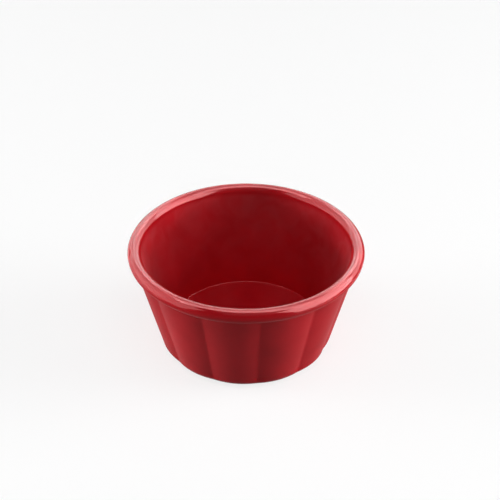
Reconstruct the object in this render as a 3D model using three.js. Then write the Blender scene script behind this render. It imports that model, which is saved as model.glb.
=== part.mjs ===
// Sauce dish: one moulded bowl with a rolled rim, a fluted tapering wall and a low foot ring.
// Millimetres, +Z up. The origin is the middle of the foot, on the table.

import * as THREE from "three";
import { mergeVertices } from "three/addons/utils/BufferGeometryUtils.js";

// Overall sizes
const RIM_DIAMETER = 85; // across the widest line of the rolled rim
const HEIGHT = 41.7; // table to the crown of the rim
const FOOT_DIAMETER = 54.8; // across the flat that stands on the table

// Thicknesses
const WALL = 2.4; // wall left behind the line where two flutes meet, measured level
const FLOOR = 2.6; // floor inside the foot ring

// Rolled rim
const RIM_CROWN = 2.5; // widest line up to the crown
const RIM_DROP = 2.4; // widest line down to the underside
const RIM_OVERHANG = 2.1; // rim past the crests of the flutes
const RIM_FILLET = 0.5; // hollow corner between the wall and the rim's underside
const CROWN_POWER = 1.55; // shape of the crown: 1 is a straight bevel, 2 is an ellipse

// Flutes of the outer wall
const FLUTE_COUNT = 12;
const FLUTE_DEPTH = 1; // crest of a flute to the line where two flutes meet

// Foot and floor
const FOOT_ROUND = 4.5; // outer rounding between the foot and the wall
const FOOT_RING_WIDTH = 3.4; // flat ring that touches the table
const RECESS_DEPTH = 1.2; // hollow under the floor, inside the foot ring
const FLOOR_FILLET = 0.5; // inside corner between the wall and the floor

// Smoothness
const STEPS_PER_FLUTE = 8;
const STEPS_PER_QUARTER = 5;

const FULL_TURN = 2 * Math.PI;
const QUARTER = FULL_TURN / 4;

// Levels and radii that follow from the sizes above
const rimRadius = RIM_DIAMETER / 2;
const rimLine = HEIGHT - RIM_CROWN;
const undersideLevel = rimLine - RIM_DROP;
const footRadius = FOOT_DIAMETER / 2;
const ringInnerRadius = footRadius - FOOT_RING_WIDTH;
const floorLevel = RECESS_DEPTH + FLOOR;

// The wall is straight: it leaves the foot's rounding as a tangent and ends in the corner under the rim.
const wallTop = new THREE.Vector2(rimRadius - RIM_OVERHANG, undersideLevel);
const footCentre = new THREE.Vector2(footRadius, FOOT_ROUND);
const footToWallTop = wallTop.clone().sub(footCentre);
const lean = Math.acos(FOOT_ROUND / footToWallTop.length()) - footToWallTop.angle();

// Radius of the flute crests at a level of the wall.
function crestRadius(level) {
  return wallTop.x - (wallTop.y - level) * Math.tan(lean);
}

// Radius of the plain inside wall, which runs beside the outer one.
function insideRadius(level) {
  return crestRadius(level) - FLUTE_DEPTH - WALL;
}

// A profile point, with the share of the flute depth that is cut there.
function row(radius, level, fluteShare = 0) {
  return { radius, level, fluteShare };
}

// Profile points along an arc, from one angle to another.
function arc(centreRadius, centreLevel, radius, from, to) {
  const steps = Math.max(2, Math.ceil((Math.abs(to - from) / QUARTER) * STEPS_PER_QUARTER));
  const rows = [];
  for (let step = 0; step <= steps; step += 1) {
    const angle = from + ((to - from) * step) / steps;
    rows.push(row(centreRadius + radius * Math.cos(angle), centreLevel + radius * Math.sin(angle)));
  }
  return rows;
}

// Underside: the recess from the axis out to the foot ring, whose inner edge is rounded.
function undersideRows() {
  const edge = arc(ringInnerRadius, RECESS_DEPTH, RECESS_DEPTH, 2 * QUARTER, 3 * QUARTER);
  return [row(0, RECESS_DEPTH), ...edge];
}

// Foot rounding, where the flutes grow from nothing on the table to their full depth on the wall.
function footRows() {
  const rows = arc(footCentre.x, footCentre.y, FOOT_ROUND, -QUARTER, -lean);
  const wallStart = rows[rows.length - 1].level;
  return rows.map((point) => row(point.radius, point.level, point.level / wallStart));
}

// Hollow corner under the rim, where the flutes run out again.
function cornerRows() {
  const centreLevel = undersideLevel - RIM_FILLET;
  const centreRadius = crestRadius(centreLevel) + RIM_FILLET / Math.cos(lean);
  const rows = arc(centreRadius, centreLevel, RIM_FILLET, 2 * QUARTER - lean, QUARTER);
  const last = rows.length - 1;
  return rows.map((point, index) => row(point.radius, point.level, 1 - index / last));
}

// Rolled rim: a quarter ellipse up to the widest line, then the crown over to the inside wall.
function rimRows(startRadius) {
  const rows = [];
  for (let step = 1; step <= STEPS_PER_QUARTER; step += 1) {
    const angle = QUARTER * (1 - step / STEPS_PER_QUARTER);
    const radius = startRadius + (rimRadius - startRadius) * Math.cos(angle);
    rows.push(row(radius, rimLine - RIM_DROP * Math.sin(angle)));
  }
  const mouthRadius = insideRadius(rimLine);
  const middle = (rimRadius + mouthRadius) / 2;
  const halfWidth = (rimRadius - mouthRadius) / 2;
  for (let step = 1; step <= 2 * STEPS_PER_QUARTER; step += 1) {
    const angle = (QUARTER * step) / STEPS_PER_QUARTER;
    const across = Math.sign(Math.cos(angle)) * Math.abs(Math.cos(angle)) ** (2 / CROWN_POWER);
    const up = Math.abs(Math.sin(angle)) ** (2 / CROWN_POWER);
    rows.push(row(middle + halfWidth * across, rimLine + RIM_CROWN * up));
  }
  return rows;
}

// Inside: the plain wall down to the floor's fillet, and the flat floor in to the axis.
function insideRows() {
  const centreLevel = floorLevel + FLOOR_FILLET;
  const centreRadius = insideRadius(centreLevel) - FLOOR_FILLET / Math.cos(lean);
  return [...arc(centreRadius, centreLevel, FLOOR_FILLET, -lean, -QUARTER), row(0, floorLevel)];
}

// Share of the flute depth at an angle round the dish: none on a crest, all where two flutes meet.
function fluteCut(angle) {
  const flutes = (angle / FULL_TURN) * FLUTE_COUNT;
  const fromCrest = 2 * (flutes - Math.round(flutes));
  return fromCrest ** 2;
}

// Turns the profile, then draws the outer wall in between the crests.
function flutedLathe(rows) {
  const segments = FLUTE_COUNT * STEPS_PER_FLUTE;
  const profile = rows.map((point) => new THREE.Vector2(point.radius, point.level));
  const geometry = new THREE.LatheGeometry(profile, segments);
  const position = geometry.getAttribute("position");
  for (let segment = 0; segment <= segments; segment += 1) {
    const angle = (FULL_TURN * segment) / segments;
    rows.forEach((point, index) => {
      const radius = point.radius - FLUTE_DEPTH * point.fluteShare * fluteCut(angle);
      const vertex = segment * rows.length + index;
      position.setXYZ(vertex, radius * Math.sin(angle), point.level, radius * Math.cos(angle));
    });
  }
  geometry.rotateX(QUARTER);
  return closed(geometry);
}

// Joins the seam and the points on the axis into one closed skin, without the empty triangles there.
function closed(geometry) {
  geometry.deleteAttribute("normal");
  geometry.deleteAttribute("uv");
  const merged = mergeVertices(geometry);
  const index = merged.getIndex().array;
  const kept = [];
  for (let corner = 0; corner < index.length; corner += 3) {
    const [a, b, c] = index.slice(corner, corner + 3);
    if (a !== b && b !== c && c !== a) {
      kept.push(a, b, c);
    }
  }
  merged.setIndex(kept);
  merged.computeVertexNormals();
  return merged;
}

function makeDish() {
  const corner = cornerRows();
  const rows = [
    ...undersideRows(),
    ...footRows(),
    ...corner,
    ...rimRows(corner[corner.length - 1].radius),
    ...insideRows(),
  ];
  const glossyRed = new THREE.MeshStandardMaterial({ color: 0x8e0c13, roughness: 0.22, metalness: 0 });
  const dish = new THREE.Mesh(flutedLathe(rows), glossyRed);
  dish.name = "dish_body";
  return dish;
}

const sauceDish = new THREE.Group();
sauceDish.add(makeDish());

export default sauceDish;
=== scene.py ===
"""Looks of the sauce dish: a finely shaped glossy red dish on a pale floor under soft light."""

import math

import bpy
import numpy as np
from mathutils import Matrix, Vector


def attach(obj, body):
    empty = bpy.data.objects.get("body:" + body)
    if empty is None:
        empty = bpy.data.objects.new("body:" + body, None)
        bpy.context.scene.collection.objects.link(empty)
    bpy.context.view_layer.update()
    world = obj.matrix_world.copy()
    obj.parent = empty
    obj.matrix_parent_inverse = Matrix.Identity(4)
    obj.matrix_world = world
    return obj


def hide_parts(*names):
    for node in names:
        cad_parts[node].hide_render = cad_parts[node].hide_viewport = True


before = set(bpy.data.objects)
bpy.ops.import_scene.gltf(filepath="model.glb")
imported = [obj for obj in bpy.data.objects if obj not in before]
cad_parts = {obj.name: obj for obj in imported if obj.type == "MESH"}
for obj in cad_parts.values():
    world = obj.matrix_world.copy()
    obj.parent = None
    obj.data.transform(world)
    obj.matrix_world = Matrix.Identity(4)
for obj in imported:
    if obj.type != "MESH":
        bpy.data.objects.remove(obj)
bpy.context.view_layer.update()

MM = 0.001
FULL_TURN = 2 * math.pi
QUARTER = FULL_TURN / 4

# Dish, in millimetres: the solid's sizes, but with a tighter inside corner round the floor
RIM_DIAMETER = 85.0
HEIGHT = 41.7
FOOT_DIAMETER = 54.8
WALL = 2.4
FLOOR = 2.6
RIM_CROWN = 2.5
RIM_DROP = 2.4
RIM_OVERHANG = 2.1
RIM_FILLET = 0.5
CROWN_POWER = 1.55
FLUTE_COUNT = 12
FLUTE_DEPTH = 1.0
FOOT_ROUND = 4.5
FOOT_RING_WIDTH = 3.4
RECESS_DEPTH = 1.2
FLOOR_FILLET = 0.12

# Levels, radii and the wall's lean that follow from the sizes
RIM_RADIUS = RIM_DIAMETER / 2
RIM_LINE = HEIGHT - RIM_CROWN
RIM_UNDERSIDE = RIM_LINE - RIM_DROP
FLOOR_LEVEL = RECESS_DEPTH + FLOOR
FOOT_RADIUS = FOOT_DIAMETER / 2
WALL_TOP = RIM_RADIUS - RIM_OVERHANG
WALL_RUN = WALL_TOP - FOOT_RADIUS
WALL_RISE = RIM_UNDERSIDE - FOOT_ROUND
LEAN = math.acos(FOOT_ROUND / math.hypot(WALL_RUN, WALL_RISE)) - math.atan2(WALL_RISE, WALL_RUN)

# Softness of the line where two flutes meet, as a share of half a flute's width
VALLEY_SOFTNESS = 0.05

# Fineness of the surface
STEPS_PER_FLUTE = 40
STEPS_PER_QUARTER = 18
WALL_STEPS = 24
FLAT_STEPS = 10
SHARP_ANGLE = math.radians(50)

# Columns of a profile row: radius, level, share of the flute depth, share of the painted sheen
RADIUS, LEVEL, FLUTE, PAINTED_SHEEN = range(4)

# Red plastic, with a slow drift of colour and roughness
RED_DEEP = (0.242, 0.0026, 0.0052, 1.0)
RED_CLEAR = (0.296, 0.0036, 0.0072, 1.0)
RED_SHINE = 0.020
RED_ROUGHNESS = (0.08, 0.14)
COAT_WEIGHT = 0.12
COAT_ROUGHNESS = 0.10
SHEEN_WEIGHT = 0.09
SHEEN_ROUGHNESS = 0.33
DRIFT_SCALE = 70.0
DRIFT_DETAIL = 3.0
DRIFT_RANGE = (0.3, 0.7)

# Painted sheen: a faint whitish veil painted into the colour of the upper part of the inside,
# strongest at the rim, gone at the floor, in cloudy patches
PAINTED_SHEEN_LAYER = "painted_sheen"
PAINTED_SHEEN_COLOUR = (0.34, 0.06, 0.068, 1.0)
PAINTED_SHEEN_STRENGTH = (0.08, 0.24)
PAINTED_SHEEN_PATCH_SCALE = 120.0
PAINTED_SHEEN_PATCH_DETAIL = 4.0
PAINTED_SHEEN_PATCH_DISTORTION = 0.8
PAINTED_SHEEN_PATCH_RANGE = (0.35, 0.65)

# Very fine unevenness of the moulded skin
SKIN_SCALE = 320.0
SKIN_DETAIL = 2.0
SKIN_STRENGTH = 0.06
SKIN_DEPTH = 0.0002

# Stage, in metres
STAGE_COLOUR = (0.20, 0.20, 0.20, 1.0)
STAGE_WHITE = (0.75, 0.75, 0.75, 1.0)
STAGE_BOUNCE = (0.40, 0.40, 0.40, 1.0)
STAGE_ROUGHNESS = 0.9
STAGE_GAP = 0.0001
STAGE_RADIUS = 2.0
BEND_RADIUS = 0.6
BACKDROP_HEIGHT = 1.0
STAGE_TURNS = 96
BEND_STEPS = 16
WORLD_COLOUR = (1.0, 1.0, 1.0, 1.0)
WORLD_STRENGTH = 0.28

# Lamps: azimuth and elevation in degrees, distance and size in metres, radiance
SOFTBOXES = {
    "key_box": (15.0, 62.0, 1.0, (0.80, 0.80), 2.0),
    "left_box": (-92.0, 17.0, 0.9, (0.60, 0.50), 3.8),
    "right_box": (97.0, 17.0, 0.9, (0.60, 0.50), 8.0),
}

# Low strips on both sides that model the flutes and leave no image in the gloss
SIDE_STRIPS = {
    "left_strip": (-83.0, 5.0, 0.9, (0.34, 0.20), 44.0),
    "right_strip": (98.0, 5.0, 0.9, (0.34, 0.20), 36.0),
}

# Panels and low cards that only the gloss shows
SHINE_PANELS = {
    "top_back_panel": (180.0, 55.0, 1.0, (1.60, 0.46), 35.0),
    "top_middle_panel": (180.0, 79.0, 1.0, (1.60, 0.39), 12.0),
    "top_front_panel": (0.0, 79.0, 1.0, (1.60, 0.36), 37.0),
    "back_panel": (161.0, 16.0, 0.9, (1.70, 0.50), 19.0),
    "back_top_panel": (176.0, 36.5, 0.9, (1.20, 0.18), 28.0),
    "corner_panel": (144.0, 36.0, 0.9, (0.46, 0.30), 12.0),
    "left_panel": (-88.0, 28.0, 0.9, (1.60, 0.96), 13.0),
    "left_corner_panel": (-143.0, 18.0, 0.9, (0.42, 0.60), 13.0),
    "right_panel": (84.0, 25.0, 0.9, (1.16, 0.92), 36.0),
    "left_card": (-100.0, -2.8, 0.12, (0.20, 0.03), 9.0),
    "right_card": (84.0, -9.0, 0.09, (0.16, 0.0125), 20.0),
}

# Camera, at the photograph's viewing angle
IMAGE_SIZE = 500
FOCAL_PIXELS = 1252.7
AIM_PIXEL = (246.07, 247.83)
CAMERA_AZIMUTH = 7.64
CAMERA_ELEVATION = 34.292
CAMERA_DISTANCE = 0.45
SENSOR_WIDTH = 36.0


def profile_rows(radius, level):
    """Profile rows with no flutes and no painted sheen."""
    return np.column_stack([radius, level, np.zeros((len(radius), 2))])


def arc(centre_radius, centre_level, radius, start, end):
    """Profile rows along an arc, from one angle to another."""
    steps = max(2, math.ceil(abs(end - start) / QUARTER * STEPS_PER_QUARTER))
    angle = np.linspace(start, end, steps + 1)
    across, up = radius * np.cos(angle), radius * np.sin(angle)
    return profile_rows(centre_radius + across, centre_level + up)


def between(first, last, steps):
    """Profile rows strictly between two others, along a straight line."""
    share = np.linspace(0, 1, steps + 1)[1:-1, None]
    return np.asarray(first) * (1 - share) + np.asarray(last) * share


def crest_radius(level):
    """Radius of the flute crests at a level of the wall."""
    return WALL_TOP - (RIM_UNDERSIDE - level) * math.tan(LEAN)


def inside_radius(level):
    """Radius of the plain inside wall, which runs beside the outer one."""
    return crest_radius(level) - FLUTE_DEPTH - WALL


def foot_rows():
    """Rounded foot, where the flutes grow from nothing to their full depth."""
    foot = arc(FOOT_RADIUS, FOOT_ROUND, FOOT_ROUND, -QUARTER, -LEAN)
    foot[:, FLUTE] = foot[:, LEVEL] / foot[-1, LEVEL]
    return foot


def rim_rows():
    """Hollow corner where the flutes run out, then the rolled rim over to the inside wall."""
    corner_level = RIM_UNDERSIDE - RIM_FILLET
    corner_radius = crest_radius(corner_level) + RIM_FILLET / math.cos(LEAN)
    corner = arc(corner_radius, corner_level, RIM_FILLET, 2 * QUARTER - LEAN, QUARTER)
    corner[:, FLUTE] = np.linspace(1, 0, len(corner))

    angle = np.linspace(QUARTER, 0, STEPS_PER_QUARTER + 1)[1:]
    under_radius = corner_radius + (RIM_RADIUS - corner_radius) * np.cos(angle)
    under = profile_rows(under_radius, RIM_LINE - RIM_DROP * np.sin(angle))

    mouth = inside_radius(RIM_LINE)
    middle, half = (RIM_RADIUS + mouth) / 2, (RIM_RADIUS - mouth) / 2
    power = 2 / CROWN_POWER
    angle = np.linspace(0, 2 * QUARTER, 2 * STEPS_PER_QUARTER + 1)[1:]
    cosine, sine = np.cos(angle), np.abs(np.sin(angle))
    crown_radius = middle + half * np.sign(cosine) * np.abs(cosine) ** power
    crown = profile_rows(crown_radius, RIM_LINE + RIM_CROWN * sine ** power)
    return np.vstack([corner, under, crown])


def dish_profile():
    """Profile rows from the middle of the underside round to the middle of the floor."""
    ring_inner = FOOT_RADIUS - FOOT_RING_WIDTH
    recess = arc(ring_inner, RECESS_DEPTH, RECESS_DEPTH, 2 * QUARTER, 3 * QUARTER)
    foot = foot_rows()
    rim = rim_rows()

    fillet_level = FLOOR_LEVEL + FLOOR_FILLET
    fillet_radius = inside_radius(fillet_level) - FLOOR_FILLET / math.cos(LEAN)
    fillet = arc(fillet_radius, fillet_level, FLOOR_FILLET, -LEAN, -QUARTER)

    inside_wall = between(rim[-1], fillet[0], WALL_STEPS)
    # Painted sheen share: full at the top of the inside wall, fading to nothing at the floor
    inside_wall[:, PAINTED_SHEEN] = np.linspace(1, 0, len(inside_wall))

    under_middle = (0.0, RECESS_DEPTH, 0.0, 0.0)
    floor_middle = (0.0, FLOOR_LEVEL, 0.0, 0.0)
    return np.vstack([
        under_middle,
        between(under_middle, recess[0], FLAT_STEPS),
        recess,
        foot,
        between(foot[-1], rim[0], WALL_STEPS),
        rim,
        inside_wall,
        fillet,
        between(fillet[-1], floor_middle, FLAT_STEPS),
        floor_middle,
    ])


def flute_cut(angle):
    """Share of the flute depth round the dish, slightly rounded where two flutes meet."""
    flutes = angle / FULL_TURN * FLUTE_COUNT
    from_valley = 1 - np.abs(2 * (flutes - np.round(flutes)))
    plain = (1 - from_valley) ** 2
    rounded = (1 - VALLEY_SOFTNESS) * (1 - from_valley ** 2 / VALLEY_SOFTNESS)
    return np.where(from_valley < VALLEY_SOFTNESS, rounded, plain)


def dish_mesh():
    """Turns the profile into a closed mesh whose outer wall is drawn in between the crests."""
    rows = dish_profile()
    ring_rows = rows[1:-1]
    turns = FLUTE_COUNT * STEPS_PER_FLUTE
    angle = np.arange(turns) * FULL_TURN / turns
    radius = ring_rows[:, [RADIUS]] - FLUTE_DEPTH * ring_rows[:, [FLUTE]] * flute_cut(angle)
    level = np.repeat(ring_rows[:, [LEVEL]], turns, axis=1)
    rings = np.stack([radius * np.sin(angle), -radius * np.cos(angle), level], axis=-1)
    first, last = (0.0, 0.0, rows[0, LEVEL]), (0.0, 0.0, rows[-1, LEVEL])
    points = np.vstack([first, rings.reshape(-1, 3), last]) * MM

    sides = list(zip(range(1, turns + 1), [*range(2, turns + 1), 1]))
    faces = [(0, there, here) for here, there in sides]
    for ring in range(len(ring_rows) - 1):
        low, high = ring * turns, (ring + 1) * turns
        for here, there in sides:
            faces.append((here + low, there + low, there + high, here + high))
    end, base = len(points) - 1, (len(ring_rows) - 1) * turns
    faces += [(end, here + base, there + base) for here, there in sides]

    mesh = bpy.data.meshes.new("dish")
    mesh.from_pydata(points.tolist(), [], faces)
    # Painted sheen share at each point, kept as a mesh attribute for the material
    painted_sheen = rows[:, PAINTED_SHEEN]
    layer = mesh.attributes.new(PAINTED_SHEEN_LAYER, "FLOAT", "POINT")
    layer.data.foreach_set("value", np.hstack([painted_sheen[0], np.repeat(painted_sheen[1:-1], turns), painted_sheen[-1]]))
    mesh.validate()
    mesh.shade_smooth()
    mesh.set_sharp_from_angle(angle=SHARP_ANGLE)
    return mesh


def new_material(name):
    """New material, with its nodes, its links and its shader."""
    material = bpy.data.materials.new(name)
    material.use_nodes = True
    tree = material.node_tree
    return material, tree.nodes, tree.links, tree.nodes["Principled BSDF"]


def set_inputs(node, values):
    """Sets a node's own sockets by name."""
    for name, value in values.items():
        node.inputs[name].default_value = value


def math_node(nodes, links, operation, first, second):
    """Node that works out a sum or a product of two outputs."""
    node = nodes.new("ShaderNodeMath")
    node.operation = operation
    links.new(first, node.inputs[0])
    links.new(second, node.inputs[1])
    return node


def colour_mix(nodes, links, factor):
    """Node that mixes two colours by an output."""
    node = nodes.new("ShaderNodeMix")
    node.data_type = "RGBA"
    links.new(factor, node.inputs["Factor"])
    return node


def red_plastic():
    """Glossy red moulding with a drift of colour and gloss, a painted sheen in cloudy patches on
    the upper inside wall and a very fine skin.
    """
    material, nodes, links, shader = new_material("red_gloss")
    set_inputs(shader, {
        "Metallic": RED_SHINE,
        "Specular IOR Level": 0.0,
        "Coat Weight": COAT_WEIGHT,
        "Coat Roughness": COAT_ROUGHNESS,
        "Sheen Weight": SHEEN_WEIGHT,
        "Sheen Roughness": SHEEN_ROUGHNESS,
    })

    place = nodes.new("ShaderNodeTexCoord")

    def noise(values):
        texture = nodes.new("ShaderNodeTexNoise")
        set_inputs(texture, values)
        links.new(place.outputs["Object"], texture.inputs["Vector"])
        return texture.outputs["Fac"]

    drift = noise({"Scale": DRIFT_SCALE, "Detail": DRIFT_DETAIL})
    colour = nodes.new("ShaderNodeValToRGB")
    stops = colour.color_ramp.elements
    for stop, position, red in zip(stops, DRIFT_RANGE, (RED_DEEP, RED_CLEAR)):
        stop.position = position
        stop.color = red
    links.new(drift, colour.inputs["Fac"])

    # Painted sheen: a whitish veil mixed into the base colour in patches, as far as the mesh
    # attribute allows it
    sheen_patch_noise = noise({"Scale": PAINTED_SHEEN_PATCH_SCALE, "Detail": PAINTED_SHEEN_PATCH_DETAIL, "Distortion": PAINTED_SHEEN_PATCH_DISTORTION})
    patches = nodes.new("ShaderNodeMapRange")
    set_inputs(patches, {
        "From Min": PAINTED_SHEEN_PATCH_RANGE[0],
        "From Max": PAINTED_SHEEN_PATCH_RANGE[1],
        "To Min": PAINTED_SHEEN_STRENGTH[0],
        "To Max": PAINTED_SHEEN_STRENGTH[1],
    })
    links.new(sheen_patch_noise, patches.inputs["Value"])

    painted_sheen = nodes.new("ShaderNodeAttribute")
    painted_sheen.attribute_name = PAINTED_SHEEN_LAYER
    amount = math_node(nodes, links, "MULTIPLY", painted_sheen.outputs["Fac"], patches.outputs["Result"])
    with_painted_sheen = colour_mix(nodes, links, amount.outputs["Value"])
    with_painted_sheen.inputs["B"].default_value = PAINTED_SHEEN_COLOUR
    links.new(colour.outputs["Color"], with_painted_sheen.inputs["A"])
    links.new(with_painted_sheen.outputs["Result"], shader.inputs["Base Color"])

    gloss = nodes.new("ShaderNodeMapRange")
    set_inputs(gloss, {"To Min": RED_ROUGHNESS[0], "To Max": RED_ROUGHNESS[1]})
    links.new(drift, gloss.inputs["Value"])
    links.new(gloss.outputs["Result"], shader.inputs["Roughness"])

    bump = nodes.new("ShaderNodeBump")
    set_inputs(bump, {"Strength": SKIN_STRENGTH, "Distance": SKIN_DEPTH})
    links.new(noise({"Scale": SKIN_SCALE, "Detail": SKIN_DETAIL}), bump.inputs["Height"])
    links.new(bump.outputs["Normal"], shader.inputs["Normal"])
    return material


def add_object(name, data):
    """New object in the scene, at the origin."""
    thing = bpy.data.objects.new(name, data)
    bpy.context.scene.collection.objects.link(thing)
    return thing


def make_dish():
    dish = add_object("dish", dish_mesh())
    dish.data.materials.append(red_plastic())
    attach(dish, "root")
    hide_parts("dish_body")


def floor_mesh():
    """Round floor whose edge bends up into a low backdrop on all sides."""
    bend = np.linspace(0, QUARTER, BEND_STEPS + 1)
    radius = STAGE_RADIUS + BEND_RADIUS * np.sin(bend)
    level = BEND_RADIUS * (1 - np.cos(bend))
    radius = np.append(radius, radius[-1])
    level = np.append(level, BACKDROP_HEIGHT) - STAGE_GAP
    angle = np.arange(STAGE_TURNS) * FULL_TURN / STAGE_TURNS
    points = []
    for ring_radius, ring_level in zip(radius, level):
        around = ring_radius * np.cos(angle), ring_radius * np.sin(angle)
        points.append(np.column_stack([*around, np.full(STAGE_TURNS, ring_level)]))

    faces = [tuple(range(STAGE_TURNS))]
    for ring in range(len(points) - 1):
        low, high = ring * STAGE_TURNS, (ring + 1) * STAGE_TURNS
        for here in range(STAGE_TURNS):
            there = (here + 1) % STAGE_TURNS
            faces.append((low + here, high + here, high + there, low + there))

    mesh = bpy.data.meshes.new("floor")
    mesh.from_pydata(np.vstack(points).tolist(), [], faces)
    mesh.validate()
    mesh.shade_smooth()
    return mesh


def pale_floor():
    """White with the dish's shadow, to the camera and in gloss, and grey as a source of light."""
    material, nodes, links, shader = new_material("pale_floor")
    material.cycles.emission_sampling = "NONE"
    set_inputs(shader, {
        "Roughness": STAGE_ROUGHNESS,
        "Specular IOR Level": 0.0,
        "Emission Color": STAGE_WHITE,
    })

    path = nodes.new("ShaderNodeLightPath").outputs
    seen = math_node(nodes, links, "ADD", path["Is Camera Ray"], path["Is Glossy Ray"])
    shown = math_node(nodes, links, "ADD", seen.outputs["Value"], path["Is Transmission Ray"])
    shown.use_clamp = True
    links.new(shown.outputs["Value"], shader.inputs["Emission Strength"])

    colour = colour_mix(nodes, links, shown.outputs["Value"])
    set_inputs(colour, {"A": STAGE_BOUNCE, "B": STAGE_COLOUR})
    links.new(colour.outputs["Result"], shader.inputs["Base Color"])
    return material


def make_floor():
    floor = add_object("floor", floor_mesh())
    floor.data.materials.append(pale_floor())


def face(thing, aim, azimuth, elevation, distance):
    """Places a lamp or the camera round a point, facing it; azimuth from -Y towards +X."""
    azimuth, elevation = math.radians(azimuth), math.radians(elevation)
    level = math.cos(elevation)
    way = Vector((math.sin(azimuth) * level, -math.cos(azimuth) * level, math.sin(elevation)))
    thing.location = aim + way * distance
    thing.rotation_euler = (-way).to_track_quat("-Z", "Y").to_euler()


def make_lights():
    aim = Vector((0.0, 0.0, HEIGHT * MM / 2))
    lamps = {**SOFTBOXES, **SIDE_STRIPS, **SHINE_PANELS}
    for name, (azimuth, elevation, distance, size, radiance) in lamps.items():
        data = bpy.data.lights.new(name, "AREA")
        data.shape = "RECTANGLE"
        data.size, data.size_y = size
        data.energy = math.pi * size[0] * size[1] * radiance
        lamp = add_object(name, data)
        lamp.visible_diffuse = name not in SHINE_PANELS
        lamp.visible_glossy = name not in SIDE_STRIPS
        face(lamp, aim, azimuth, elevation, distance)

    world = bpy.data.worlds.new("studio")
    world.use_nodes = True
    background = world.node_tree.nodes["Background"]
    set_inputs(background, {"Color": WORLD_COLOUR, "Strength": WORLD_STRENGTH})
    bpy.context.scene.world = world


def make_camera():
    data = bpy.data.cameras.new("camera")
    data.sensor_width = SENSOR_WIDTH
    data.lens = SENSOR_WIDTH * FOCAL_PIXELS / IMAGE_SIZE
    data.shift_x = (IMAGE_SIZE / 2 - AIM_PIXEL[0]) / IMAGE_SIZE
    data.shift_y = -(IMAGE_SIZE / 2 - AIM_PIXEL[1]) / IMAGE_SIZE
    camera = add_object("camera", data)
    aim = Vector((0.0, 0.0, RIM_LINE * MM))
    face(camera, aim, CAMERA_AZIMUTH, CAMERA_ELEVATION, CAMERA_DISTANCE)
    bpy.context.scene.camera = camera


make_dish()
make_floor()
make_lights()
make_camera()
bpy.context.scene.view_settings.view_transform = "Standard"
